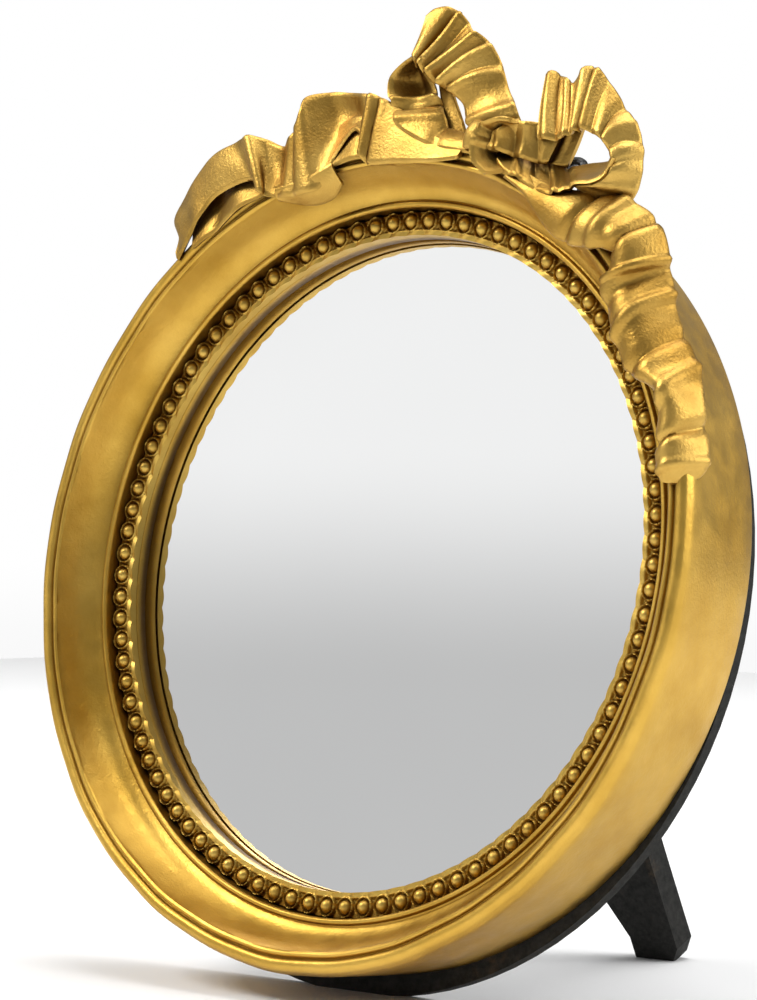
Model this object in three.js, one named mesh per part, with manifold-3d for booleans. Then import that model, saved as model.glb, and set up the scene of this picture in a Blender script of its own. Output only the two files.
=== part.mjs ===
// Round gilt table mirror: a moulded ring frame with a beaded sight edge, a ribbon bow
// cast on top, a glass mirror on a black backing board, a hinged easel leg and a wire hanger.
// Millimetres, +Z up. The mirror faces -Y, leans back on its leg, and stands turned in its own
// plane, so that its weight comes down between its lowest edge and the foot of the leg.
import * as THREE from "three";
import { mergeVertices } from "three/addons/utils/BufferGeometryUtils.js";
import Module from "manifold-3d";

const wasm = await Module();
wasm.setup();

// ---------------------------------------------------------------- driving dimensions
// Until the last section the mirror stands upright: x right, y back, z up, with the
// origin at the centre of the bead circle. Depths are measured along y from that plane.
const DEG = Math.PI / 180;
const LEAN = 9.7;                // degrees the mirror leans back
const TURN = 18;                  // degrees the bow stands round from the top, towards +x
const SEGMENTS = 96;              // sides of the large round pieces
const GAP = 0.3;                  // clearance between pieces that touch

const FRAME_BACK_R = 71.2;        // the outer wall draws in towards the back
const FRAME_BACK = 13;
const REBATE_R = 63.2;
const REBATE_DEPTH = 4.9;
const SIGHT_R = 58.4;
const CHANNEL_R = 62.8;
const CHANNEL_DEPTH = 2.6;
const FILLET_FRONT = -1.3;
const RIDGE_R = 69.4;
const RIDGE_FRONT = -8.2;
const RIM_FRONT = -8.6;

const GLASS_R = 62.5;
const GLASS_FRONT = 5.2;
const GLASS_THICK = 1.8;
const CARD_THICK = 5.4;

// The board is screwed on a little low and to the left of the frame.
const BOARD_R = 73.1;
const BOARD_X = -1.9;
const BOARD_Z = -2.9;
const BOARD_THICK = 2.2;
const BOARD_FRONT = FRAME_BACK + GAP;
const BOARD_BACK = BOARD_FRONT + BOARD_THICK;

const LEG = { length: 126, footWidth: 12.9, topWidth: 25, taperEnd: 92, thick: 5.5 };
const LEG_TURN = 23.3;            // degrees the leg is turned from straight down
const LEG_OPEN = 31.7;            // degrees the leg stands away from the board
const HINGE_X = -10.8;
const HINGE_Z = 41.1;
const KNUCKLE_R = 1.9;
const PIN_R = 1.0;
const BORE_R = 1.25;
const LEAF_THICK = 0.8;
const HINGE_WIDTH = 22;
const HINGE_LIFT = GAP + KNUCKLE_R;
const HINGE_Y = BOARD_BACK + HINGE_LIFT;
const LEG_FRONT = GAP - KNUCKLE_R;

const HANGER_X = -3.4;
const HANGER_Z = 68.5;
const HANGER_Y = BOARD_BACK + 2.3;
const WIRE_R = 0.8;
const HANGER_HALF = 6.2;
const HANGER_TALL = 10.4;
const HANGER_TILT = 17;           // degrees the ring stands away from the board
const EYE_HALF = 3.6;
const STRAP_LOW = 59.4;
const STRAP_RIVET_Z = 62.6;

const REST_FLAT = 0.9;            // depth of the flat on the round edge that it stands on

// ---------------------------------------------------------------- materials
function finish(color, roughness, metalness) {
  return new THREE.MeshStandardMaterial({ color, roughness, metalness });
}
const GILT = () => finish(0xc39a34, 0.38, 0.85);
const LEAF_GOLD = () => finish(0xd4a93c, 0.3, 0.9);
const BLACK_BOARD = () => finish(0x1b1a18, 0.95, 0);
const STEEL = () => finish(0x8d8d8c, 0.35, 1);
const BLACK_WIRE = () => finish(0x1c1c1c, 0.4, 0.8);

// ---------------------------------------------------------------- solids
function toSolid(geometry) {
  const bare = geometry.clone();
  bare.deleteAttribute("normal");
  bare.deleteAttribute("uv");
  const merged = mergeVertices(bare, 1e-4);
  const vertProperties = new Float32Array(merged.attributes.position.array);
  const triVerts = new Uint32Array(merged.index.array);
  return new wasm.Manifold(new wasm.Mesh({ numProp: 3, vertProperties, triVerts }));
}

function toGeometry(solid) {
  const mesh = solid.getMesh();
  const geometry = new THREE.BufferGeometry();
  geometry.setAttribute("position", new THREE.Float32BufferAttribute(mesh.vertProperties, 3));
  geometry.setIndex(Array.from(mesh.triVerts));
  geometry.computeVertexNormals();
  return geometry;
}

// A closed [radius, depth] profile, listed with the material on its right, turned about y.
function turned(profile, sides = SEGMENTS) {
  const points = profile.map(([radius, depth]) => new THREE.Vector2(radius, depth));
  points.push(points[0].clone());
  return toSolid(new THREE.LatheGeometry(points, sides));
}

function disc(radius, front, thick, sides = SEGMENTS) {
  const geometry = new THREE.CylinderGeometry(radius, radius, thick, sides);
  return toSolid(geometry.translate(0, front + thick / 2, 0));
}

// A flat outline in the x-z plane, made solid from the depth front to the depth back.
function plate(outline, front, back) {
  const shape = new THREE.Shape(outline.map(([x, z]) => new THREE.Vector2(x, z)));
  const geometry = new THREE.ExtrudeGeometry(shape, { depth: back - front, bevelEnabled: false });
  return toSolid(geometry.rotateX(Math.PI / 2).translate(0, back, 0));
}

function box(x0, x1, y0, y1, z0, z1) {
  const geometry = new THREE.BoxGeometry(x1 - x0, y1 - y0, z1 - z0);
  return toSolid(geometry.translate((x0 + x1) / 2, (y0 + y1) / 2, (z0 + z1) / 2));
}

function barAlongX(radius, x0, x1, sides) {
  const geometry = new THREE.CylinderGeometry(radius, radius, x1 - x0, sides);
  return toSolid(geometry.rotateZ(Math.PI / 2).translate((x0 + x1) / 2, 0, 0));
}

function barAlongY(radius, y0, y1, sides) {
  const geometry = new THREE.CylinderGeometry(radius, radius, y1 - y0, sides);
  return toSolid(geometry.translate(0, (y0 + y1) / 2, 0));
}

// A round wire through a closed list of points: straight rods with a ball at each bend.
function wireLoop(points, radius, sides) {
  let wire = null;
  points.forEach((point, i) => {
    const start = new THREE.Vector3(...point);
    const end = new THREE.Vector3(...points[(i + 1) % points.length]);
    const along = end.clone().sub(start);
    const rod = new THREE.CylinderGeometry(radius, radius, along.length(), sides);
    const turn = new THREE.Quaternion().setFromUnitVectors(
      new THREE.Vector3(0, 1, 0), along.clone().normalize());
    rod.applyQuaternion(turn).translate(...start.clone().add(end).multiplyScalar(0.5).toArray());
    const ball = new THREE.SphereGeometry(radius, sides, sides / 2).translate(...point);
    const stretch = toSolid(rod).add(toSolid(ball));
    wire = wire ? wire.add(stretch) : stretch;
  });
  return wire;
}

function polar(angle, radius) {
  return [radius * Math.sin(angle * DEG), radius * Math.cos(angle * DEG)];
}

function arcPoints(fromAngle, toAngle, radius, steps) {
  return Array.from({ length: steps + 1 }, (_, i) =>
    polar(fromAngle + (toAngle - fromAngle) * i / steps, radius));
}

// ---------------------------------------------------------------- standing frame
// upright -> standing: the mirror turns about y and then leans back about x. The lowest point
// of the round board is straight below the board's own middle.
const stance = new THREE.Matrix4().makeRotationX(-LEAN * DEG)
  .multiply(new THREE.Matrix4().makeRotationY(TURN * DEG));
const lean = new THREE.Matrix4().makeRotationX(-LEAN * DEG);
const boardMiddle = new THREE.Vector3(BOARD_X, 0, BOARD_Z).applyMatrix4(stance);
const boardEdge = new THREE.Vector3(0, BOARD_BACK, -BOARD_R).applyMatrix4(lean);
const FLOOR = boardMiddle.z + boardEdge.z + REST_FLAT;

// The ground under the standing mirror, as a block in the frame of a piece placed by matrix.
function groundFor(matrix) {
  const size = 400;
  const ground = box(-size, size, -size, size, FLOOR - size, FLOOR);
  return ground.transform(matrix.clone().invert().toArray());
}

// ---------------------------------------------------------------- fasteners
// A dome-headed screw or rivet: the head rises along +y from the face, the shank goes to -y.
function fastener({ headR, headHigh, shankR, shankLong }, sides = 16) {
  const profile = [
    [0, -shankLong], [shankR, -shankLong], [shankR, GAP / 2], [headR, GAP / 2],
    [headR, headHigh * 0.45], [headR * 0.72, headHigh * 0.85], [0, headHigh],
  ];
  const points = profile.map(([radius, height]) => new THREE.Vector2(radius, height));
  return toSolid(new THREE.LatheGeometry(points, sides));
}

function hole(x, z, radius, y0, y1, sides = 16) {
  return barAlongY(radius, y0, y1, sides).translate([x, 0, z]);
}

const BOARD_SCREW = { headR: 2.2, headHigh: 1.3, shankR: 1.1, shankLong: 7.5 };
const BOARD_SCREW_R = 67;
const BOARD_SCREW_ANGLES = [45, 135, 225, 315];
const RIVET = { headR: 1.7, headHigh: 0.9, shankR: 0.8, shankLong: 2.4 };
const SHANK_CLEAR = 0.2;

// ---------------------------------------------------------------- frame, beads, glass, board
function coveProfile() {
  const curve = new THREE.QuadraticBezierCurve(
    new THREE.Vector2(64.2, FILLET_FRONT + 0.7),
    new THREE.Vector2(67.4, -1.9),
    new THREE.Vector2(RIDGE_R - 0.5, RIDGE_FRONT + 0.4));
  return curve.getPoints(7).map((point) => [point.x, point.y]);
}

const FRAME_PROFILE = [
  [SIGHT_R, REBATE_DEPTH], [SIGHT_R, CHANNEL_DEPTH], [CHANNEL_R, CHANNEL_DEPTH],
  [CHANNEL_R, FILLET_FRONT + 0.4], [63.2, FILLET_FRONT], [63.8, FILLET_FRONT],
  ...coveProfile(),
  [RIDGE_R - 0.1, RIDGE_FRONT], [RIDGE_R + 0.3, RIDGE_FRONT], [RIDGE_R + 0.7, RIDGE_FRONT + 0.5],
  [RIDGE_R + 1.1, RIM_FRONT], [71.8, RIM_FRONT], [72.5, RIM_FRONT + 0.4], [73, RIM_FRONT + 1.3],
  [FRAME_BACK_R, FRAME_BACK], [REBATE_R, FRAME_BACK], [REBATE_R, REBATE_DEPTH],
];

function frameRing() {
  let ring = turned(FRAME_PROFILE);
  for (const angle of BOARD_SCREW_ANGLES) {
    const [x, z] = polar(angle, BOARD_SCREW_R);
    const depth = BOARD_SCREW.shankLong - BOARD_THICK + 1;
    const pilot = hole(x, z, BOARD_SCREW.shankR + SHANK_CLEAR, FRAME_BACK - depth, FRAME_BACK + 1);
    ring = ring.subtract(pilot);
  }
  return ring;
}

// The room that the castings on top must leave for the frame.
function frameEnvelope() {
  return turned([
    [62, FRAME_BACK + 1], [62, -1.5], [64.5, -1.6], [67.4, -4.2], [68.6, -8.9],
    [72.3, -8.95], [73.3, -8.1], [73.4, -6.5], [FRAME_BACK_R + GAP, FRAME_BACK + 1],
  ]);
}

// Half-round strip in the frame's channel, with a low lip towards the glass.
function beadedRim() {
  return turned([
    [SIGHT_R - 0.2, CHANNEL_DEPTH - GAP], [SIGHT_R - 0.2, 1], [SIGHT_R + 0.2, 0.5],
    [SIGHT_R + 0.9, 0.6], [59.6, -0.5], [60.5, -1], [61.4, -0.5], [61.9, 0.6],
    [CHANNEL_R - GAP, 0.8], [CHANNEL_R - GAP, CHANNEL_DEPTH - GAP],
  ]);
}

function backBoard() {
  let board = disc(BOARD_R, BOARD_FRONT, BOARD_THICK).translate([BOARD_X, 0, BOARD_Z]);
  board = board.subtract(groundFor(stance));
  for (const angle of BOARD_SCREW_ANGLES) {
    const [x, z] = polar(angle, BOARD_SCREW_R);
    const radius = BOARD_SCREW.shankR + SHANK_CLEAR;
    board = board.subtract(hole(x, z, radius, BOARD_FRONT - 1, BOARD_BACK + 1));
  }
  for (const { x, z } of [...boardRivets(), { x: HANGER_X, z: STRAP_RIVET_Z }]) {
    board = board.subtract(hole(x, z, RIVET.shankR + SHANK_CLEAR, BOARD_FRONT - 1, BOARD_BACK + 1));
  }
  return board;
}

// ---------------------------------------------------------------- bow
// The two halves of the bow are carved freely, so each has outlines of its own.
// Loops and eyes are [x, z] points, and crests are [degrees from the top, radius] points.
const BOW = {
  left: {
    loop: [
      [-3.4, 72.6], [-2, 78], [-4.6, 84], [-9.4, 89.2], [-13.8, 93], [-18, 96.4], [-20.8, 95],
      [-22, 89.6], [-22.8, 86], [-26, 83.4], [-26, 77], [-21, 72.6], [-12, 71.6],
    ],
    eye: [[-13, 75.6], [-12.2, 80.6], [-8.6, 81.6], [-7.4, 76.2]],
    loopDepth: [-9.6, -3.6],
    crest: [
      [5, 69.6], [15, 80.2], [21, 82.2], [27, 83.2], [29.6, 81.4], [31, 78], [34.4, 76.8],
      [38, 79.2], [42, 82.2], [46, 83], [54, 81.2], [58, 80.2], [57, 76.6], [60.6, 73],
    ],
    foldR: 67.2,
    tailDepth: [-10.4, -4.4],
  },
  right: {
    loop: [
      [6, 72.4], [8, 78], [9.4, 84], [10.4, 90], [14.6, 88.8], [17.4, 92.8], [21, 91.6],
      [26, 85.6], [29.6, 79.6], [30.4, 75], [28.4, 71.6], [19, 70], [12, 70.8],
    ],
    eye: [[15, 75.8], [16.8, 81.6], [22.4, 82.6], [26.2, 79], [24.8, 75], [18.6, 73.8]],
    loopDepth: [-9.6, -3.6],
    crest: [
      [5, 69.4], [12, 70], [21, 74], [24, 77.4], [28, 79.4], [33, 80.4], [37, 79.8], [42, 78.4],
      [50, 77.6], [57, 77], [63, 76.4], [61.4, 73.4], [66, 70.4],
    ],
    foldR: 65.4,
    tailDepth: [-10.8, -2.6],
  },
};

// Moves every point of an outline outwards from the outline's middle.
function grown(outline, distance) {
  const middle = outline.reduce(([mx, mz], [x, z]) =>
    [mx + x / outline.length, mz + z / outline.length], [0, 0]);
  return outline.map(([x, z]) => {
    const reach = Math.hypot(x - middle[0], z - middle[1]);
    const factor = (reach + distance) / reach;
    return [middle[0] + (x - middle[0]) * factor, middle[1] + (z - middle[1]) * factor];
  });
}

function knotBall(extra) {
  const ball = new THREE.SphereGeometry(1, 20, 12).scale(4.7 + extra, 5.6 + extra, 5.4 + extra);
  return toSolid(ball.translate(0.6, -9.4, 74.4));
}

// One loop of the bow: a ribbon band that leaves the knot, rounds over and comes back.
function bowLoop(half) {
  const [front, back] = half.loopDepth;
  const eye = plate(half.eye, front - 1, back + 1);
  const loop = plate(half.loop, front, back).subtract(eye);
  return loop.subtract(knotBall(GAP)).subtract(frameEnvelope());
}

// Space beside the frame's outer wall, which the trailing ends overhang but don't fill.
function wallRoom() {
  return turned([[73, -6.8], [100, -6.8], [100, FRAME_BACK], [73, FRAME_BACK]]);
}

// One trailing end: a waved ribbon that follows the frame's outer rim to a notched tip.
function ribbonTail(half, side) {
  const [front, back] = half.tailDepth;
  const tipAngle = half.crest.at(-1)[0] - 1.6;
  const fold = arcPoints(tipAngle, half.crest[0][0], half.foldR, 9);
  const crest = half.crest.map(([angle, radius]) => polar(angle, radius));
  const outline = [...crest, ...fold].map(([x, z]) => [side * x, z]);
  const loopRoom = plate(grown(half.loop, 1), front - 1, back + 1);
  const tail = plate(outline, front, back).subtract(loopRoom);
  return tail.subtract(frameEnvelope()).subtract(wallRoom());
}

function bowKnot() {
  return knotBall(0).subtract(frameEnvelope());
}

// ---------------------------------------------------------------- easel leg and hinge
// The hinge frame has its origin on the pin, x along the pin, and -z down the folded leg.
const hingeTurn = new THREE.Matrix4().makeRotationY(-LEG_TURN * DEG);
const hingePlace = new THREE.Matrix4().makeTranslation(HINGE_X, HINGE_Y, HINGE_Z).multiply(hingeTurn);
const legPlace = hingePlace.clone().multiply(new THREE.Matrix4().makeRotationX(LEG_OPEN * DEG));

const LEAF_LONG = 13;
const STOP_LONG = 3.5;
const KNUCKLE_END = 4.6;          // half-width of the leg's knuckle
const LEAF_RIVET_X = 7.4;
const BOARD_RIVET_Z = 9.6;
const LEG_RIVET_Z = -9.2;

function boardRivets() {
  return [-LEAF_RIVET_X, LEAF_RIVET_X].map((x) => {
    const place = new THREE.Vector3(x, 0, BOARD_RIVET_Z).applyMatrix4(hingePlace);
    return { x: place.x, z: place.z };
  });
}

function knuckle(x0, x1) {
  return barAlongX(KNUCKLE_R, x0, x1, 20);
}

function bore() {
  return barAlongX(BORE_R, -HINGE_WIDTH, HINGE_WIDTH, 20);
}

// Leaf riveted to the board, with the two outer knuckles.
function boardLeaf() {
  const half = HINGE_WIDTH / 2;
  const inner = KNUCKLE_END + GAP;
  const leafBack = -KNUCKLE_R + LEAF_THICK;
  const room = box(-inner, inner, -KNUCKLE_R - 1, leafBack + 1, -KNUCKLE_R - 1, KNUCKLE_R + 0.6);
  let leaf = box(-half, half, -KNUCKLE_R, leafBack, 0, LEAF_LONG).subtract(room);
  leaf = leaf.add(knuckle(-half, -inner)).add(knuckle(inner, half)).subtract(bore());
  for (const x of [-LEAF_RIVET_X, LEAF_RIVET_X]) {
    leaf = leaf.subtract(hole(x, BOARD_RIVET_Z, RIVET.shankR + SHANK_CLEAR, -4, 4));
  }
  return leaf;
}

// Leaf riveted to the leg, with the middle knuckle and the tab that stops the leg.
function legLeaf() {
  const half = HINGE_WIDTH / 2;
  const leafFront = KNUCKLE_R - LEAF_THICK;
  const wing = box(-half, half, leafFront, KNUCKLE_R, -LEAF_LONG, -KNUCKLE_R - 0.6);
  const tab = box(-KNUCKLE_END, KNUCKLE_END, leafFront, KNUCKLE_R, -LEAF_LONG, STOP_LONG);
  let leaf = wing.add(tab).add(knuckle(-KNUCKLE_END, KNUCKLE_END)).subtract(bore());
  for (const x of [-LEAF_RIVET_X, LEAF_RIVET_X]) {
    leaf = leaf.subtract(hole(x, LEG_RIVET_Z, RIVET.shankR + SHANK_CLEAR, -4, 4));
  }
  return leaf;
}

function hingePin() {
  return barAlongX(PIN_R, -HINGE_WIDTH / 2 - 0.6, HINGE_WIDTH / 2 + 0.6, 16);
}

// A board that narrows to a straight foot, let in at its top end for the hinge leaf.
function easelLeg() {
  const top = -KNUCKLE_R - 0.7;
  const foot = LEG.footWidth / 2;
  const shoulder = LEG.topWidth / 2;
  const outline = [
    [-shoulder, top], [-shoulder, -20], [-foot, -LEG.taperEnd], [-foot, -111.4],
    [-foot + 3, -119], [-foot + 3, -LEG.length], [foot - 4, -LEG.length],
    [foot - 2, -124.6], [foot, -121.6], [foot, -LEG.taperEnd],
    [shoulder, -20], [shoulder, top],
  ].reverse();
  const leafBed = KNUCKLE_R - LEAF_THICK - GAP;
  const rebate = box(-20, 20, leafBed, 10, -LEAF_LONG - GAP, 5);
  let leg = plate(outline, LEG_FRONT, LEG_FRONT + LEG.thick).subtract(rebate);
  for (const x of [-LEAF_RIVET_X, LEAF_RIVET_X]) {
    leg = leg.subtract(hole(x, LEG_RIVET_Z, RIVET.shankR + SHANK_CLEAR, LEG_FRONT - 1, 5));
  }
  return leg.subtract(groundFor(stance.clone().multiply(legPlace)));
}

// ---------------------------------------------------------------- hanger
// Wire ring that stands up behind the frame's top edge.
function hangerRing() {
  const bend = 2.6;
  const crown = [30, 65, 90, 115, 150].map((angle) => [
    bend * Math.cos(angle * DEG), 0, HANGER_TALL + bend * (Math.sin(angle * DEG) - 1)]);
  return wireLoop([[-HANGER_HALF, 0, 0], [HANGER_HALF, 0, 0], ...crown], WIRE_R, 10);
}

// Strap riveted to the board, rolled into an eye around the ring's lower bar.
function hangerStrap() {
  const front = BOARD_BACK + GAP;
  const eye = barAlongX(2, -EYE_HALF, EYE_HALF, 20).translate([0, HANGER_Y, HANGER_Z]);
  const opening = barAlongX(1.15, -9, 9, 20).translate([0, HANGER_Y, HANGER_Z]);
  const strap = box(-EYE_HALF, EYE_HALF, front, front + 0.8, STRAP_LOW, HANGER_Z);
  const rivetHole = hole(0, STRAP_RIVET_Z, RIVET.shankR + SHANK_CLEAR, front - 1, front + 2);
  return strap.add(eye).subtract(opening).subtract(rivetHole).translate([HANGER_X, 0, 0]);
}

// ---------------------------------------------------------------- assembly
function named(name, solid, material) {
  const mesh = new THREE.Mesh(toGeometry(solid), material);
  mesh.name = name;
  return mesh;
}

function placed(mesh, x, y, z) {
  mesh.position.set(x, y, z);
  return mesh;
}

const mirror = new THREE.Group();
mirror.rotation.set(-LEAN * DEG, TURN * DEG, 0);
mirror.add(
  named("frame_ring", frameRing(), GILT()),
  named("beaded_rim", beadedRim(), GILT()),
  named("mirror_glass", disc(GLASS_R, GLASS_FRONT, GLASS_THICK), finish(0xd9dcde, 0.03, 1)),
  named("backing_card", disc(GLASS_R, GLASS_FRONT + GLASS_THICK + GAP, CARD_THICK),
    finish(0x8a7455, 0.9, 0)),
  named("back_board", backBoard(), BLACK_BOARD()),
  named("bow_knot", bowKnot(), LEAF_GOLD()),
  named("bow_loop_left", bowLoop(BOW.left), LEAF_GOLD()),
  named("bow_loop_right", bowLoop(BOW.right), LEAF_GOLD()),
  named("ribbon_tail_left", ribbonTail(BOW.left, -1), LEAF_GOLD()),
  named("ribbon_tail_right", ribbonTail(BOW.right, 1), LEAF_GOLD()),
);

BOARD_SCREW_ANGLES.forEach((angle, i) => {
  const [x, z] = polar(angle, BOARD_SCREW_R);
  const screw = named(`board_screw_${i + 1}`, fastener(BOARD_SCREW), STEEL());
  mirror.add(placed(screw, x, BOARD_BACK, z));
});

const hinge = new THREE.Group();
hinge.position.set(HINGE_X, HINGE_Y, HINGE_Z);
hinge.rotation.y = -LEG_TURN * DEG;
hinge.add(named("hinge_leaf_board", boardLeaf(), STEEL()));
hinge.add(named("hinge_pin", hingePin(), STEEL()));
[-LEAF_RIVET_X, LEAF_RIVET_X].forEach((x, i) => {
  const rivet = named(`board_leaf_rivet_${i + 1}`, fastener(RIVET), STEEL());
  hinge.add(placed(rivet, x, -KNUCKLE_R + LEAF_THICK, BOARD_RIVET_Z));
});

const leg = new THREE.Group();
leg.rotation.x = LEG_OPEN * DEG;
leg.add(named("easel_leg", easelLeg(), BLACK_BOARD()));
leg.add(named("hinge_leaf_leg", legLeaf(), STEEL()));
[-LEAF_RIVET_X, LEAF_RIVET_X].forEach((x, i) => {
  const rivet = named(`leg_leaf_rivet_${i + 1}`, fastener(RIVET), STEEL());
  leg.add(placed(rivet, x, KNUCKLE_R, LEG_RIVET_Z));
});
hinge.add(leg);
mirror.add(hinge);

mirror.add(named("hanger_strap", hangerStrap(), STEEL()));
const ringMesh = placed(named("hanger_ring", hangerRing(), BLACK_WIRE()), HANGER_X, HANGER_Y, HANGER_Z);
ringMesh.rotation.x = -HANGER_TILT * DEG;
mirror.add(ringMesh);
mirror.add(placed(named("hanger_rivet", fastener(RIVET), STEEL()),
  HANGER_X, BOARD_BACK + GAP + 0.8, STRAP_RIVET_Z));

// The row's origin is the middle of the standing mirror's footprint, on the floor.
const object = new THREE.Group();
object.add(mirror);
const bounds = new THREE.Box3().setFromObject(object, true);
const middle = bounds.getCenter(new THREE.Vector3());
object.position.set(-middle.x, -middle.y, -bounds.min.z);

export default object;
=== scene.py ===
"""Looks of the round gilt table mirror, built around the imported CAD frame."""

import math

import bmesh
import bpy
import numpy as np
from mathutils import Matrix, Vector


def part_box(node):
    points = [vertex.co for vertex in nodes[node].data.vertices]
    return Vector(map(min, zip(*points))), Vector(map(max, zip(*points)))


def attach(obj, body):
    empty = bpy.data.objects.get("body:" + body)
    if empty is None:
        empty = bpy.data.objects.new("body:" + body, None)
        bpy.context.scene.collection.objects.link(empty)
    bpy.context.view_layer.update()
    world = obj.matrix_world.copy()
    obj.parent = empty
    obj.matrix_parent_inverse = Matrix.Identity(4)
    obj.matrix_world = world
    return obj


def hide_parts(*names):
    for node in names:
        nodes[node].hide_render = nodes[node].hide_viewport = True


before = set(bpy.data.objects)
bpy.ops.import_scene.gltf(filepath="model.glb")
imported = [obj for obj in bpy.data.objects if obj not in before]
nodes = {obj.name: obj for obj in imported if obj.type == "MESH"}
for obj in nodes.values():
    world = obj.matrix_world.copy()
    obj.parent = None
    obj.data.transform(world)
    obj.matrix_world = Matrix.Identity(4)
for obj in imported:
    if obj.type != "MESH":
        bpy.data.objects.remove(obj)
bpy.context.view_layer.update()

# ---------------------------------------------------------------- upright frame
# Pieces are drawn upright in millimetres: x right, y back, z up, with the origin at the
# centre of the bead circle. STAND turns them, leans them back and puts them where the CAD
# glass is.
LEAN = math.radians(9.7)
TURN = math.radians(18)           # of the bow from the top, towards +x
GLASS_MIDDLE = 6.1                # depth of the middle of the glass
BODY = "mirror_body"

tilt = Matrix.Rotation(-LEAN, 4, "X") @ Matrix.Rotation(TURN, 4, "Y")
low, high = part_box("mirror_glass")
centre = (low + high) / 2 - tilt @ Vector((0, GLASS_MIDDLE / 1000, 0))
STAND = Matrix.Translation(centre) @ tilt @ Matrix.Scale(0.001, 4)


def turned(radius, angle, depth):
    """An upright point; angle is in degrees from the top, towards +x."""
    a = math.radians(angle)
    return radius * math.sin(a), depth, radius * math.cos(a)


def piece(name, verts, faces, material, body=BODY, replaces=(), sharp=None):
    """A mesh piece from upright points, placed in the row frame and riding on a body."""
    mesh = bpy.data.meshes.new(name)
    mesh.from_pydata([tuple(v) for v in verts], [], [tuple(f) for f in faces])
    mesh.transform(STAND)
    mesh.update()
    mesh.shade_smooth()
    if sharp is not None:
        mesh.set_sharp_from_angle(angle=math.radians(sharp))
    obj = bpy.data.objects.new(name, mesh)
    bpy.context.scene.collection.objects.link(obj)
    obj.data.materials.append(material)
    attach(obj, body)
    if replaces:
        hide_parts(*replaces)
    return obj


def merge(obj, distance=1e-6):
    """Joins points that lie together and turns all faces outwards."""
    bm = bmesh.new()
    bm.from_mesh(obj.data)
    bmesh.ops.remove_doubles(bm, verts=bm.verts, dist=distance)
    bmesh.ops.recalc_face_normals(bm, faces=bm.faces)
    bm.to_mesh(obj.data)
    bm.free()


def ring_faces(rows, columns):
    """Quads of a grid of points stored row by row, with the last row joined to the first."""
    faces = []
    for i in range(rows):
        here, there = i * columns, (i + 1) % rows * columns
        faces += [(here + j, there + j, there + j + 1, here + j + 1) for j in range(columns - 1)]
    return faces


# ---------------------------------------------------------------- materials
class Nodes:
    """Short names for building one material's node tree."""

    def __init__(self, name):
        self.material = bpy.data.materials.new(name)
        self.material.use_nodes = True
        self.tree = self.material.node_tree
        self.shader = self.tree.nodes["Principled BSDF"]
        self.coords = self.tree.nodes.new("ShaderNodeTexCoord").outputs["Object"]

    def add(self, kind, **values):
        node = self.tree.nodes.new(kind)
        for key, value in values.items():
            setattr(node, key, value)
        return node

    def link(self, a, b):
        self.tree.links.new(a, b)

    def noise(self, scale, detail=4.0, rough=0.55):
        node = self.add("ShaderNodeTexNoise")
        node.inputs["Scale"].default_value = scale
        node.inputs["Detail"].default_value = detail
        node.inputs["Roughness"].default_value = rough
        self.link(self.coords, node.inputs["Vector"])
        return node.outputs["Fac"]

    def colour(self, value):
        node = self.add("ShaderNodeRGB")
        node.outputs[0].default_value = (*value, 1)
        return node.outputs[0]

    def ramp(self, source, stops):
        node = self.add("ShaderNodeValToRGB")
        elements = node.color_ramp.elements
        for element, (position, colour) in zip(elements, stops):
            element.position = position
            element.color = (*colour, 1)
        self.link(source, node.inputs["Fac"])
        return node.outputs["Color"]

    def span(self, source, low, high, out_low, out_high):
        node = self.add("ShaderNodeMapRange")
        for key, value in zip(("From Min", "From Max", "To Min", "To Max"),
                              (low, high, out_low, out_high)):
            node.inputs[key].default_value = value
        self.link(source, node.inputs["Value"])
        return node.outputs["Result"]

    def mix(self, factor, a, b):
        node = self.add("ShaderNodeMix", data_type="RGBA")
        self.link(factor, node.inputs["Factor"])
        self.link(a, node.inputs[6])
        self.link(b, node.inputs[7])
        return node.outputs[2]

    def bump(self, heights):
        """Bumps from (source, strength, distance) triples, finest last."""
        normal = None
        for source, strength, distance in heights:
            node = self.add("ShaderNodeBump")
            node.inputs["Strength"].default_value = strength
            node.inputs["Distance"].default_value = distance
            self.link(source, node.inputs["Height"])
            if normal is not None:
                self.link(normal, node.inputs["Normal"])
            normal = node.outputs["Normal"]
        self.link(normal, self.shader.inputs["Normal"])


# Painted shade: a surface this near darkens the gold's colour, as shade in a hollow would.
SHADE_REACH = 0.007              # metres within which a near surface makes a hollow


def gold(name, pale, deep, painted_shade_colour, rough, sand):
    """Gilt finish: mottled gold that is worn pale in patches, with painted shade that darkens it in its
    hollows.
    """
    n = Nodes(name)
    patches = n.ramp(n.noise(55, 5), [(0.3, deep), (0.7, pale)])
    # Painted shade: ambient occlusion mixes the base colour towards a dark shade colour in hollows and
    # creases.
    hollow = n.add("ShaderNodeAmbientOcclusion", samples=8)
    hollow.inputs["Distance"].default_value = SHADE_REACH
    shade = n.span(hollow.outputs["AO"], 0.25, 0.85, 1, 0)
    n.link(n.mix(shade, patches, n.colour(painted_shade_colour)), n.shader.inputs["Base Color"])
    n.shader.inputs["Metallic"].default_value = 1
    n.link(n.span(n.noise(260, 4), 0.3, 0.7, rough - 0.06, rough + 0.09),
           n.shader.inputs["Roughness"])
    n.bump([(n.noise(120, 3), 0.25, 0.0006), (n.noise(1900, 3), sand, 0.00012)])
    return n.material


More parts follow.
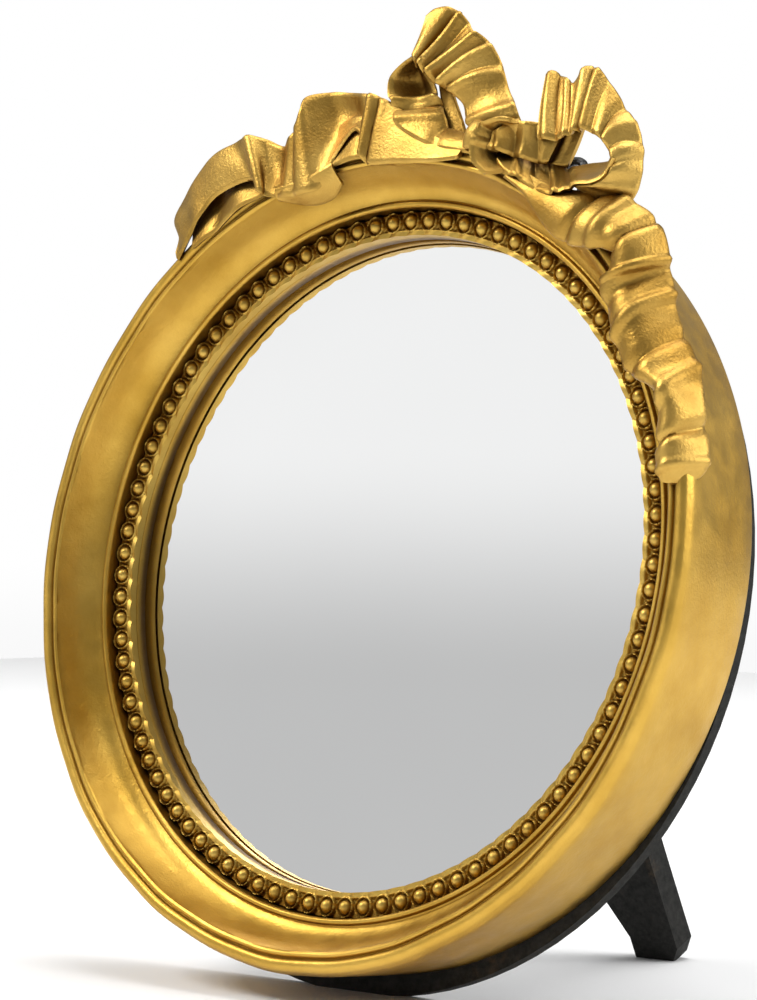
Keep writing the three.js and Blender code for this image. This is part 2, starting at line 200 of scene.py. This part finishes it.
def black_board(name, dark, pale, fibre):
    """Stained fibreboard, with a few spots where the brown fibre shows."""
    n = Nodes(name)
    stain = n.ramp(n.noise(700, 5, 0.7), [(0.3, dark), (0.75, pale)])
    worn = n.ramp(n.noise(45, 6, 0.7), [(0.62, (0, 0, 0)), (0.74, (1, 1, 1))])
    n.link(n.mix(worn, stain, n.colour(fibre)), n.shader.inputs["Base Color"])
    n.shader.inputs["Roughness"].default_value = 0.85
    n.shader.inputs["Specular IOR Level"].default_value = 0.3
    n.bump([(n.noise(2600, 4, 0.7), 0.35, 0.00015)])
    return n.material


def steel(name, colour, rough):
    """Plated or blackened steel with a faint grain."""
    n = Nodes(name)
    n.link(n.ramp(n.noise(500, 4), [(0.3, tuple(c * 0.75 for c in colour)), (0.7, colour)]),
           n.shader.inputs["Base Color"])
    n.shader.inputs["Metallic"].default_value = 1
    n.link(n.span(n.noise(900, 3), 0.3, 0.7, rough - 0.08, rough + 0.1),
           n.shader.inputs["Roughness"])
    n.bump([(n.noise(1500, 2), 0.1, 0.0001)])
    return n.material


def silvered_glass():
    n = Nodes("silvered_glass")
    n.link(n.ramp(n.noise(20, 2), [(0.3, (0.93, 0.935, 0.935)), (0.7, (0.95, 0.955, 0.955))]),
           n.shader.inputs["Base Color"])
    n.shader.inputs["Metallic"].default_value = 1
    n.shader.inputs["Roughness"].default_value = 0.01
    return n.material


def card():
    n = Nodes("grey_card")
    n.link(n.ramp(n.noise(900, 6, 0.7), [(0.3, (0.2, 0.15, 0.1)), (0.7, (0.3, 0.23, 0.16))]),
           n.shader.inputs["Base Color"])
    n.shader.inputs["Roughness"].default_value = 0.9
    n.bump([(n.noise(2200, 4), 0.2, 0.0001)])
    return n.material


# The third colour of each gilt is painted shade, laid into its hollows.
FRAME_GOLD = gold("frame_gilt", pale=(0.69, 0.435, 0.088), deep=(0.48, 0.275, 0.038),
                  painted_shade_colour=(0.14, 0.065, 0.008), rough=0.38, sand=0.5)
BEAD_GOLD = gold("bead_gilt", pale=(0.62, 0.42, 0.1), deep=(0.46, 0.28, 0.05),
                 painted_shade_colour=(0.26, 0.14, 0.022), rough=0.42, sand=0.3)
BOW_GOLD = gold("bow_leaf", pale=(0.64, 0.41, 0.1), deep=(0.34, 0.18, 0.026),
                painted_shade_colour=(0.1, 0.045, 0.006), rough=0.4, sand=0.8)
BLACK = black_board("black_fibreboard", dark=(0.006, 0.006, 0.005), pale=(0.03, 0.029, 0.026),
                    fibre=(0.075, 0.05, 0.028))
ZINC = steel("zinc", (0.56, 0.56, 0.54), rough=0.34)
WIRE = steel("black_wire", (0.035, 0.034, 0.033), rough=0.36)

# ---------------------------------------------------------------- frame
SIDES = 540                       # of everything that is turned, apart from the beads
CORNER_SHARE = 0.45               # of a side, the most that one rounded corner takes
RIM_RADIUS = 69                   # where the outer rim starts


def bezier(a, b, c, steps):
    """Points of the curve from a to c that is pulled towards b."""
    return [tuple((1 - t) ** 2 * np.array(a) + 2 * t * (1 - t) * np.array(b) + t * t * np.array(c))
            for t in (k / steps for k in range(steps + 1))]


def rounded(points, radius, steps=4):
    """An open profile whose inner corners are rounded with that radius."""
    out = [points[0]]
    for before, corner, after in zip(points, points[1:], points[2:]):
        ends = []
        for other in (before, after):
            way = np.array(other) - np.array(corner)
            length = np.linalg.norm(way)
            ends.append(np.array(corner) + way / length * min(radius, length * CORNER_SHARE))
        out += bezier(ends[0], corner, ends[1], steps)
    return out + [points[-1]]


def hand_finish(angle, radius, depth):
    """Slight unevenness of a casting that was dressed by hand, on the outer rim only."""
    if radius < RIM_RADIUS or depth > 0:
        return 0
    a = math.radians(angle)
    return 0.07 * (math.sin(7 * a + 1) + math.sin(17 * a + 2.3) + 0.7 * math.sin(31 * a)) - 0.1


def lathe(name, profile, material, replaces, wobble, sharp=38):
    """A closed [radius, depth] profile turned about the upright y axis."""
    ring = profile + profile[:1]
    verts = []
    for i in range(SIDES):
        angle = 360 * i / SIDES
        verts += [turned(radius + wobble(angle, radius, depth), angle, depth)
                  for radius, depth in ring]
    faces = [face[::-1] for face in ring_faces(SIDES, len(ring))]
    merge(piece(name, verts, faces, material, replaces=replaces, sharp=sharp))


# Rebate for the glass and the seat of the bead strip, then the cove, the rim and the wall.
frame_profile = rounded(
    [(58.4, 4.9), (58.4, 2.6), (62.7, 2.6), (62.8, -0.9), (63.1, -1.35), (63.7, -1.35), (64, -0.75)],
    0.18)
frame_profile += bezier((64.3, -0.65), (67.3, -1.7), (68.95, -7.75), 16)
frame_profile += rounded(
    [(69.05, -8), (69.45, -8.3), (69.85, -8.2), (70.2, -7.55), (70.6, -8.35), (71.1, -8.62),
     (71.9, -8.6), (72.55, -8.1), (73, -6.9), (73.05, -6)], 0.35)
frame_profile += [(72.75, -3), (72.4, 1), (72.05, 5), (71.65, 9), (71.35, 12.6), (71.15, 13),
                  (63.2, 13), (63.2, 4.9)]
lathe("gilt_frame", frame_profile, FRAME_GOLD, ("frame_ring",), wobble=hand_finish)

# ---------------------------------------------------------------- beads
BEADS = 92
BEAD_RADIUS = 60.75               # of the circle that the beads stand on
BEAD_PITCH = 4.15
ROWS_PER_BEAD = 30
STRIP_BACK = 2.3                  # depth of the strip's back
STRIP_THICK = 0.9                 # between the beads
DOME_RADIUS, DOME_HEIGHT = 1.28, 1.55
CUP_RADIUS, CUP_WIDTH, CUP_HEIGHT = 1.72, 0.22, 0.95     # the ridge around a bead
LIP_START = 1.2                   # from the beads' circle towards the glass
LIP_SLOPE = 2.2
STEP_START, STEP_DROP = 1.85, 0.35                       # at the strip's outer edge


def bead_height(radial, sideways):
    """How far the strip stands forward of its own back plane, near one bead."""
    distance = math.hypot(radial, sideways)
    height = STRIP_THICK
    if distance < DOME_RADIUS:
        height += DOME_HEIGHT * math.sqrt(1 - (distance / DOME_RADIUS) ** 2)
    cup = math.exp(-((distance - CUP_RADIUS) / CUP_WIDTH) ** 2)
    height += CUP_HEIGHT * cup * (1 if radial > -0.7 else 0.75)
    lip = -radial - LIP_START
    if lip > 0:
        scallop = 0.35 + 0.45 * abs(math.cos(math.pi * (sideways / BEAD_PITCH + 0.5 + 0.2 * lip)))
        height = max(height, STRIP_THICK + min(lip * LIP_SLOPE, 1) * scallop * 0.9)
    if radial > STEP_START:
        height -= STEP_DROP
    return height


strip_radii = np.linspace(58.2, 62.5, 34)
rows = BEADS * ROWS_PER_BEAD
columns = len(strip_radii) + 2
strip_verts = []
for i in range(rows):
    angle = 360 * i / rows
    step = (i % ROWS_PER_BEAD) / ROWS_PER_BEAD - 0.5
    sideways = step * 2 * math.pi * BEAD_RADIUS / BEADS
    strip_verts.append(turned(strip_radii[0], angle, STRIP_BACK))
    strip_verts += [turned(radius, angle, STRIP_BACK - bead_height(radius - BEAD_RADIUS, sideways))
                    for radius in strip_radii]
    strip_verts.append(turned(strip_radii[-1], angle, STRIP_BACK))
strip_faces = ring_faces(rows, columns)
strip_faces += [(i * columns + columns - 1, ((i + 1) % rows) * columns + columns - 1,
                 ((i + 1) % rows) * columns, i * columns) for i in range(rows)]
piece("bead_strip", strip_verts, strip_faces, BEAD_GOLD,
      replaces=("beaded_rim",), sharp=60)


def finish_node(name, material):
    nodes[name].data.materials.clear()
    nodes[name].data.materials.append(material)


# The glass is a disc of three rings: its face, the foot of its bevel and its back.
plate_rings = [(62.1, 5.2), (62.4, 5.45), (62.5, 7)]
plate_verts = [turned(radius, 360 * i / SIDES, depth)
               for radius, depth in plate_rings for i in range(SIDES)]
plate_faces = [(i, (i + 1) % SIDES, SIDES + (i + 1) % SIDES, SIDES + i) for i in range(SIDES)]
plate_faces += [tuple(SIDES + v for v in face) for face in plate_faces]
plate_faces += [tuple(range(SIDES)), tuple(range(3 * SIDES - 1, 2 * SIDES - 1, -1))]
mirror_plate = piece("mirror_plate", plate_verts, plate_faces, silvered_glass(),
                     replaces=("mirror_glass",))
merge(mirror_plate)
mirror_plate.data.shade_flat()
finish_node("backing_card", card())
finish_node("back_board", BLACK)
finish_node("easel_leg", BLACK)
for name in nodes:
    if name.startswith(("board_screw", "board_leaf", "leg_leaf", "hinge_", "hanger_")):
        finish_node(name, ZINC)
finish_node("hanger_ring", WIRE)

# ---------------------------------------------------------------- bow
# A ribbon is a list of stations. Each is the lower edge, the upper edge and how far the middle
# bulges back (forward if negative). A crease is (station at the lower edge, station at the
# upper edge, half-width in stations, height), raised towards the front, or sunk if negative.
STEPS_ALONG = 9                   # from one station to the next
STEPS_ACROSS = 18
RIBBON_THICK = 0.9


def unit(vectors):
    return vectors / (np.linalg.norm(vectors, axis=-1, keepdims=True) + 1e-9)


def smooth_path(points, steps):
    """Catmull-Rom through rows of numbers, with steps points from each to the next."""
    p = np.array(points, float)
    p = np.vstack([2 * p[0] - p[1], p, 2 * p[-1] - p[-2]])
    out = []
    for a, b, c, d in zip(p, p[1:], p[2:], p[3:]):
        for t in np.arange(steps) / steps:
            out.append(0.5 * (2 * b + (c - a) * t + (2 * a - 5 * b + 4 * c - d) * t ** 2
                              + (3 * b - a - 3 * c + d) * t ** 3))
    return np.array(out + [p[-2]])


def front_normals(points):
    """Unit normals of a grid of points, which on the whole point towards the front."""
    normals = unit(np.cross(np.gradient(points, axis=0), np.gradient(points, axis=1)))
    return -normals if normals[:, :, 1].mean() > 0 else normals


def sheet_points(stations, creases):
    """The middle surface of a ribbon, and its normals."""
    path = smooth_path([(*low, *high, bulge) for low, high, bulge in stations], STEPS_ALONG)
    t = np.linspace(0, 1, STEPS_ACROSS + 1)[None, :, None]
    points = path[:, None, 0:3] * (1 - t) + path[:, None, 3:6] * t
    points[:, :, 1] += path[:, 6:7] * np.sin(np.pi * t[:, :, 0])
    station = (np.arange(len(path)) / STEPS_ALONG)[:, None]
    lift = np.zeros(points.shape[:2])
    for at_low, at_high, width, height in creases:
        line = at_low + (at_high - at_low) * t[:, :, 0]
        lift += height * np.exp(-((station - line) / width) ** 2)
    points = points + front_normals(points) * lift[:, :, None]
    return points, front_normals(points)


def ribbon(name, stations, replaces=(), creases=()):
    """A ribbon of even thickness with rounded edges and closed ends, riding on the mirror."""
    points, normals = sheet_points(stations, creases)
    half = RIBBON_THICK / 2
    lip_high = points[:, -1] + half * unit(points[:, -1] - points[:, -2])
    lip_low = points[:, 0] + half * unit(points[:, 0] - points[:, 1])
    front = points + normals * half
    back = points - normals * half
    rings = np.concatenate([front, lip_high[:, None], back[:, ::-1], lip_low[:, None]], axis=1)
    rows, columns = rings.shape[:2]
    faces = [(i * columns + j, (i + 1) * columns + j, (i + 1) * columns + (j + 1) % columns,
              i * columns + (j + 1) % columns) for i in range(rows - 1) for j in range(columns)]
    side = STEPS_ACROSS + 1
    for start, flip in ((0, 1), ((rows - 1) * columns, -1)):
        for j in range(side - 1):
            faces.append(tuple(start + k for k in (j, j + 1, columns - 3 - j, columns - 2 - j)[::flip]))
        faces.append(tuple(start + k for k in (side - 1, side, side + 1)[::flip]))
        faces.append(tuple(start + k for k in (0, columns - 2, columns - 1)[::flip]))
    obj = piece(name, rings.reshape(-1, 3), faces, BOW_GOLD,
                replaces=replaces, sharp=75)
    merge(obj, 1e-7)


ribbon("bow_left_fan", [
    ((-22.3, -9.4, 85), (-25.2, -6.4, 92.6), 0.4),
    ((-21.6, -9.6, 84.7), (-24.2, -5.8, 94.3), 0.2),
    ((-20.6, -9.6, 84.2), (-21.6, -5.6, 95.1), 0.6),
    ((-18.6, -9.4, 83.3), (-18.2, -5.6, 94.6), 0.8),
    ((-16.4, -9.2, 82.5), (-13.8, -6, 92), 0.4),
    ((-14, -9, 81.8), (-10.4, -6.4, 91.6), -0.4),
    ((-11.2, -8.8, 81.2), (-5.6, -6.6, 88.8), -0.8),
    ((-8.4, -8.6, 80), (-1.4, -6.8, 84.6), -0.8),
    ((-6.6, -8.4, 78), (1.8, -7.2, 82.2), -0.6),
    ((-4.4, -8.4, 76.4), (4.4, -8, 80.2), -0.6),
    ((-1.6, -8.6, 75.4), (6.4, -8.6, 79), -0.4),
], replaces=("bow_loop_left",), creases=[
    (1.8, 2.5, 0.34, -1.5), (2.4, 3.0, 0.2, 1.1), (3.0, 3.5, 0.16, -0.5), (3.5, 4.3, 0.25, 0.9),
    (4.2, 5.0, 0.34, -1.4), (4.9, 5.5, 0.18, 1.0), (5.4, 6.2, 0.22, -0.7), (5.9, 6.4, 0.2, 0.5),
    (7.4, 6.9, 0.8, -0.7), (8.7, 8.2, 0.3, 0.6), (9.3, 9.1, 0.22, -0.6),
])
ribbon("bow_left_lobe", [
    ((-22.2, -9.2, 84.8), (-22.4, -7.6, 84.9), 0),
    ((-24.6, -8.8, 82.8), (-22, -6.8, 84), 2),
    ((-26, -8.6, 80.2), (-19.6, -6.6, 82.6), 3.2),
    ((-24.8, -8.8, 77.4), (-17.6, -6.6, 81.2), 3),
    ((-22.6, -9.2, 75.8), (-16.4, -6.6, 80), 1.6),
    ((-21, -9.6, 74.2), (-15, -6.8, 79), 0.2),
    ((-19.4, -9.8, 72.8), (-13.4, -7, 77.4), 0),
    ((-14.6, -9.8, 71.8), (-11.8, -7, 75.8), -0.4),
    ((-9.8, -9.6, 71.4), (-9.6, -7.2, 74.8), -0.4),
    ((-4.6, -9.4, 71.8), (-5.4, -7.6, 74.8), -0.4),
    ((0, -9.4, 72.4), (-1.4, -8, 75.2), -0.4),
], creases=[(3.6, 4.4, 0.22, 0.8), (4.3, 5.3, 0.3, -1.1), (5.5, 6.5, 0.4, 0.5), (8, 7.6, 0.3, -0.5)])
ribbon("bow_left_return", [
    ((-17.4, -5.4, 82), (-14, -5, 81), 0.2),
    ((-14.4, -5.6, 78.2), (-11.4, -5.2, 78.6), 0.2),
    ((-12.2, -5.8, 75.4), (-8.8, -5.4, 76.2), 0.2),
    ((-11.4, -6, 73.6), (-7.2, -5.6, 74.6), 0.2),
])
ribbon("bow_right_fan", [
    ((11.6, -9.2, 77.8), (6, -6.2, 88.6), -0.3),
    ((14.2, -9.4, 78.4), (7.4, -6, 89.4), -0.3),
    ((16.6, -9.4, 79.2), (9.8, -5.8, 88.8), 0.2),
    ((18, -9.2, 80.2), (12, -5.8, 88.4), 0.2),
    ((19.2, -9.2, 81.4), (13.6, -6, 91.4), 0),
    ((21.2, -9.2, 81.6), (15.8, -6, 91.8), -0.2),
    ((23.6, -9.2, 81.2), (19, -6, 90.4), -0.3),
    ((25.6, -9.4, 80.4), (23.4, -6, 87.6), -0.5),
    ((27.4, -9.4, 79.2), (27.6, -6, 84.8), -0.6),
    ((28.8, -9.6, 77.6), (30.6, -5.8, 81.8), -0.6),
    ((29.2, -9.8, 75.8), (31.8, -5.6, 78.4), -0.6),
    ((28, -9.8, 74), (32, -5.4, 75.2), -0.6),
    ((25.4, -9.8, 72.8), (31.4, -5.2, 72.4), -0.6),
    ((22.4, -9.6, 72.2), (29.4, -5.2, 70.6), -0.4),
], replaces=("bow_loop_right",), creases=[
    (0.6, 0.5, 0.25, 0.4), (1.3, 1.4, 0.3, -0.7), (2.3, 2.3, 0.25, 0.6), (3.4, 3.9, 0.25, 0.5),
    (3.9, 4.7, 0.14, -1.0), (4.4, 5.2, 0.2, 0.5), (5.3, 6, 0.3, -0.4),
    (6.4, 7.2, 0.22, -0.7), (6.9, 8, 0.2, 0.4), (7.7, 8.8, 0.3, -0.6), (9.2, 9.6, 0.4, -0.5),
    (11.5, 11.2, 0.4, 0.5),
])
ribbon("bow_right_return", [
    ((28.8, -9.8, 78.2), (26.6, -4.6, 78.8), 0.6),
    ((28.6, -10.2, 75), (23.6, -4.4, 77.4), 0.8),
    ((26.6, -10.4, 73.2), (20.6, -4.4, 76.4), 0.8),
    ((22.8, -10.4, 72), (17.8, -4.6, 75.2), 0.8),
    ((21, -10.4, 70.2), (15, -5, 74.6), 0.4),
    ((19, -10.4, 69.4), (12.6, -5.4, 74.4), 0.4),
    ((15.8, -10.4, 69.6), (10.2, -6, 74.6), 0.2),
    ((11.8, -10.4, 70.2), (7.4, -6.6, 75), 0),
    ((8.4, -10.6, 70.8), (4.6, -7, 75.6), 0),
    ((5.6, -10.4, 72), (2.4, -7.4, 76), 0),
], creases=[(3.2, 3.6, 0.3, -0.6), (4.4, 4.7, 0.25, 0.6), (6, 6.2, 0.3, -0.5), (7.2, 7.4, 0.25, 0.5)])
ribbon("bow_right_inner", [
    ((8.6, -6.6, 74.4), (11.2, -7.4, 80.4), 0.6),
    ((12, -6, 74.4), (14, -7, 81.2), 0.8),
    ((14.6, -5.6, 74.6), (16, -6.6, 82), 0.5),
    ((16.6, -5.2, 75.2), (17.8, -6.2, 82.4), 0.2),
], creases=[(0.9, 1.3, 0.25, -0.5), (1.8, 1.6, 0.3, 0.4)])

# ---------------------------------------------------------------- knot
ribbon("bow_knot_curl", [
    ((6.4, -12, 79), (7.6, -9.4, 79.6), 0.2),
    ((4.6, -12.8, 78.6), (8.4, -9.2, 78.2), 0.8),
    ((2.2, -13, 77), (7.8, -9, 76.6), 1.2),
    ((1.2, -13.2, 74.8), (7, -8.8, 75), 1.4),
    ((1.6, -13.2, 72.6), (6.4, -9, 73.4), 1.4),
    ((3.2, -13, 70.4), (7, -9.6, 72), 0.8),
    ((5.8, -12.4, 69.2), (8.2, -10.2, 71), 0.4),
], replaces=("bow_knot",), creases=[(2.2, 2.6, 0.3, -0.5), (3.4, 3.2, 0.3, 0.5)])
ribbon("bow_knot_wrap", [
    ((1.6, -12.9, 73), (1.8, -12.9, 77), 0),
    ((-0.2, -12.2, 72.6), (-0.2, -12, 77), -0.6),
    ((-1.6, -10.6, 72.4), (-1.8, -10.2, 76.6), -0.6),
    ((-2.4, -8.6, 72.4), (-2.6, -8.2, 76.2), -0.4),
    ((-2.4, -6.6, 72.6), (-2.6, -6.2, 75.8), 0),
], creases=[(1.2, 1.4, 0.4, 0.3)])
ribbon("bow_knot_fold", [
    ((3.4, -11.2, 73.6), (3.6, -11.6, 76), 0.4),
    ((5.4, -11, 73.8), (5.4, -11.4, 77.6), 0.4),
    ((7.6, -10.2, 74), (7.8, -10.2, 79.2), 0.4),
    ((10, -9.2, 74), (10.4, -9, 79.8), 0.3),
    ((12.6, -8.2, 74.2), (13, -8, 79.8), 0.1),
    ((14, -7.4, 74.6), (15, -7.4, 80.6), 0),
], creases=[(1.1, 0.7, 0.3, 0.6), (2.2, 1.5, 0.35, -0.9), (2.9, 2.3, 0.2, 0.5), (3.9, 2.9, 0.3, -0.5)])

# ---------------------------------------------------------------- trailing ends
ribbon("tail_left", [
    ((-3.6, -9.6, 70.6), (-3.4, -9, 73), 0),
    ((-8, -9.8, 69), (-8.4, -8.8, 72.6), 0),
    ((-12.4, -9.9, 67.8), (-13, -8.6, 73.2), -0.2),
    ((-17, -10, 66.6), (-18.6, -8.6, 74.6), -0.2),
    ((-22.4, -10, 65), (-23.8, -9, 75.8), -0.2),
    ((-24.8, -10, 65.6), (-27.2, -9.6, 76.2), -0.2),
    ((-27, -9.4, 68.6), (-30.6, -8.4, 76), 0.8),
    ((-30.2, -8.6, 69.6), (-36.2, -6.2, 75.6), 1.6),
    ((-32.2, -8.6, 65), (-41, -6.2, 74.6), 1.8),
    ((-32.8, -9.4, 58.4), (-43.8, -9.2, 72), 0.8),
    ((-35.6, -10.2, 56.2), (-42.8, -10.2, 67.8), 0),
    ((-39.6, -10, 54.8), (-43.6, -9.8, 64.8), 0.2),
    ((-42.6, -9.2, 54), (-46, -7.8, 62.6), 0.8),
    ((-44.6, -9.8, 53.6), (-50.6, -8, 62.8), 0.6),
    ((-45.8, -10.4, 53.8), (-53.4, -9.6, 62.4), -0.2),
    ((-50, -9.8, 55.2), (-57.6, -9, 60.4), -0.3),
    ((-57, -9.4, 50.6), (-63, -8, 56.2), -0.3),
    ((-59.4, -9.2, 45.4), (-66.2, -7, 49.2), -0.2),
    ((-60.2, -9.2, 41.4), (-67.8, -6.6, 43.8), -0.2),
    ((-60.8, -9, 38.8), (-64, -7.6, 41), 0),
    ((-61.2, -8.9, 37), (-62.4, -8.6, 37.8), 0),
], replaces=("ribbon_tail_left",), creases=[
    (4.4, 4.7, 0.2, -0.6), (5.1, 5.3, 0.2, 0.7), (5.6, 5.9, 0.2, -0.4), (9.6, 9.4, 0.4, 0.4),
    (10.6, 10.6, 0.25, -0.5), (13.8, 14.1, 0.25, 0.7), (14.6, 15, 0.4, -0.3), (17, 16.8, 0.4, 0.3),
])
ribbon("tail_left_web", [
    ((-21, -8.6, 66.6), (-23, -7, 73.4), 0.2),
    ((-27, -8.6, 65), (-29.4, -6.8, 72.6), 0.2),
    ((-33, -8.6, 62), (-36, -6, 70), 0.2),
    ((-38.4, -8.7, 59), (-41, -6.4, 64), 0.2),
    ((-44, -8.8, 55), (-47, -6.8, 59.6), 0.2),
    ((-50, -8.8, 50), (-53.4, -7, 56.6), 0.2),
    ((-55, -8.8, 44.6), (-59.4, -7, 51.2), 0.2),
    ((-58.6, -8.8, 40), (-62.4, -7.2, 44.2), 0.2),
], creases=[(1, 1.4, 0.5, 0.5), (2.6, 2.2, 0.4, -0.4), (5, 5.3, 0.4, 0.6), (6, 5.8, 0.3, -0.5)])
ribbon("tail_left_drape", [
    ((-42, -8.9, 53.6), (-42.4, -9.8, 54.8), 0),
    ((-38.2, -7.4, 54.2), (-39.4, -10, 56.4), -0.4),
    ((-34.4, -6.8, 55.2), (-36, -10, 58.2), -0.6),
    ((-31.2, -6.8, 57.4), (-33.4, -10, 60.4), -0.6),
    ((-29.6, -7.6, 60.2), (-31.4, -9.6, 62.4), -0.2),
])
ribbon("tail_right", [
    ((8.4, -10, 69.8), (12, -9, 71.4), 0),
    ((13.4, -10.2, 68.4), (18, -9, 70.6), -0.2),
    ((17, -10.2, 66.4), (22.6, -8.6, 71), -0.8),
    ((20.4, -10.2, 64.4), (26.2, -7.8, 71.8), -1.4),
    ((23.2, -10.2, 63.2), (30.2, -7.2, 72.4), -2),
    ((27, -10.4, 62.6), (33.8, -6.4, 72.2), -2.4),
    ((31, -10.4, 63.2), (36.8, -5.8, 71.6), -2.6),
    ((34.6, -10.4, 63.8), (39.6, -5.2, 70), -2.8),
    ((36.8, -10.2, 62.2), (42, -4.8, 67.2), -3),
    ((36.8, -10, 59.6), (43.8, -4.4, 64.4), -3.2),
    ((36.6, -10.2, 57.2), (45.2, -4.2, 61.8), -3.2),
    ((38.4, -10.4, 55), (46.8, -4.2, 59.2), -3.4),
    ((40.8, -10.4, 53), (48.4, -4.2, 57.2), -3.2),
    ((42.8, -10.2, 50.8), (50.8, -4.4, 55.2), -3),
    ((45.6, -10.2, 48), (53.8, -4.6, 52.8), -3),
    ((48.2, -10.4, 45.8), (56.4, -4.8, 50.4), -3),
    ((52.6, -10.4, 45.6), (58.6, -4.6, 47.4), -3),
    ((55.8, -10.2, 44), (60.6, -4.4, 44.2), -3),
    ((57, -10.1, 41), (62.4, -4.4, 41), -3),
    ((57.8, -10.3, 38.4), (64, -4.6, 38.4), -3),
    ((58.8, -10.3, 35.8), (64.8, -5, 36), -2.6),
    ((60.2, -9.9, 33.4), (64.4, -6, 33.8), -2),
    ((61.2, -9.6, 31.8), (62.8, -8.8, 32), -0.2),
], replaces=("ribbon_tail_right",), creases=[
    (4.6, 3.2, 0.25, -1), (6.2, 4.6, 0.3, 0.9), (7.4, 6.6, 0.25, -0.9), (9.4, 8.6, 0.2, 0.9),
    (11.2, 9, 0.6, -0.9), (13, 10.6, 0.3, 1), (15, 13.2, 0.3, -0.9), (17.2, 15, 0.35, 1),
    (19.6, 17.6, 0.3, -0.9), (21.2, 19.6, 0.3, 0.6),
])

# ---------------------------------------------------------------- camera
camera_data = bpy.data.cameras.new("view")
camera_data.sensor_width = 36
camera_data.sensor_fit = "AUTO"
camera_data.lens = 108
camera_data.clip_start = 0.01
camera = bpy.data.objects.new("view", camera_data)
bpy.context.scene.collection.objects.link(camera)
azimuth, elevation, roll = math.radians(40.48), math.radians(-0.74), math.radians(0.42)
camera.location = centre + Vector((0.3420, -0.3976, 0.0033))
facing = Vector((-math.sin(azimuth) * math.cos(elevation), math.cos(azimuth) * math.cos(elevation),
                 -math.sin(elevation)))
camera.rotation_mode = "QUATERNION"
camera.rotation_quaternion = (facing.to_track_quat("-Z", "Y")
                              @ Matrix.Rotation(roll, 3, "Z").to_quaternion())
bpy.context.scene.camera = camera

# ---------------------------------------------------------------- floor, light
FLOOR_HALF = 1.1                  # half the floor's side, in metres

floor_mesh = bpy.data.meshes.new("floor")
floor_mesh.from_pydata([(x * FLOOR_HALF, y * FLOOR_HALF, 0)
                        for x, y in ((-1, -1), (1, -1), (1, 1), (-1, 1))], [], [(0, 1, 2, 3)])
floor = bpy.data.objects.new("floor", floor_mesh)
bpy.context.scene.collection.objects.link(floor)
floor_paint = Nodes("pale_floor")
floor_paint.link(floor_paint.ramp(floor_paint.noise(3, 2),
                                  [(0.3, (0.94, 0.94, 0.94)), (0.7, (0.97, 0.97, 0.97))]),
                 floor_paint.shader.inputs["Base Color"])
floor_paint.shader.inputs["Roughness"].default_value = 0.7
floor.data.materials.append(floor_paint.material)


def softbox(name, place, target, size, power):
    """A rectangular lamp at place that faces target."""
    data = bpy.data.lights.new(name, "AREA")
    data.shape = "RECTANGLE"
    data.size, data.size_y = size
    data.energy = power
    light = bpy.data.objects.new(name, data)
    bpy.context.scene.collection.objects.link(light)
    light.location = place
    light.rotation_mode = "QUATERNION"
    light.rotation_quaternion = (Vector(target) - Vector(place)).to_track_quat("-Z", "Y")


softbox("key", (-0.9, -0.9, 1.5), (0, 0, 0.08), (0.7, 0.7), power=22)
softbox("right", (1.3, 0.65, 0.85), (0, 0, 0.08), (1.1, 1.1), power=13)
softbox("top", (0.1, 0.2, 1.8), (0, 0, 0.1), (1.4, 1.0), power=20)

world = bpy.data.worlds.new("studio")
bpy.context.scene.world = world
world.use_nodes = True
wt = world.node_tree
direction = wt.nodes.new("ShaderNodeTexCoord").outputs["Generated"]


def along(vector, low, high, out_low, out_high):
    """A value that rises with the direction's part along vector."""
    dot = wt.nodes.new("ShaderNodeVectorMath")
    dot.operation = "DOT_PRODUCT"
    dot.inputs[1].default_value = vector
    wt.links.new(direction, dot.inputs[0])
    span = wt.nodes.new("ShaderNodeMapRange")
    span.interpolation_type = "SMOOTHSTEP"
    for key, value in zip(("From Min", "From Max", "To Min", "To Max"),
                          (low, high, out_low, out_high)):
        span.inputs[key].default_value = value
    wt.links.new(dot.outputs["Value"], span.inputs["Value"])
    return span.outputs["Result"]


def blended(factor, low, high):
    """Goes from low to high, each a number or a node's output, as factor goes from 0 to 1."""
    node = wt.nodes.new("ShaderNodeMix")
    node.data_type = "FLOAT"
    wt.links.new(factor, node.inputs[0])
    for socket, value in ((node.inputs[2], low), (node.inputs[3], high)):
        if isinstance(value, float):
            socket.default_value = value
        else:
            wt.links.new(value, socket)
    return node.outputs[0]


# The room is a plain grey. On the side that the glass faces it is lighter, and lightest high up.
# Behind the mirror and below the horizon it is white, so that the floor has no visible end.
ROOM_GREY = 0.34
card_tone = along((0.003, 0.345, 0.939), -0.06, 0.02, 0.55, 0.92)
wall_part = along((-0.65, -0.71, 0.26), 0.9, 0.96, 0, 1)
behind = along((-0.65, 0.76, 0), 0.962, 0.977, 0, 1)
below = along((0, 0, -1), 0.005, 0.04, 0, 1)
room = blended(behind, blended(wall_part, ROOM_GREY, card_tone), 1.0)
wt.links.new(blended(below, room, 0.95), wt.nodes["Background"].inputs["Color"])
bpy.context.scene.view_settings.view_transform = "Standard"
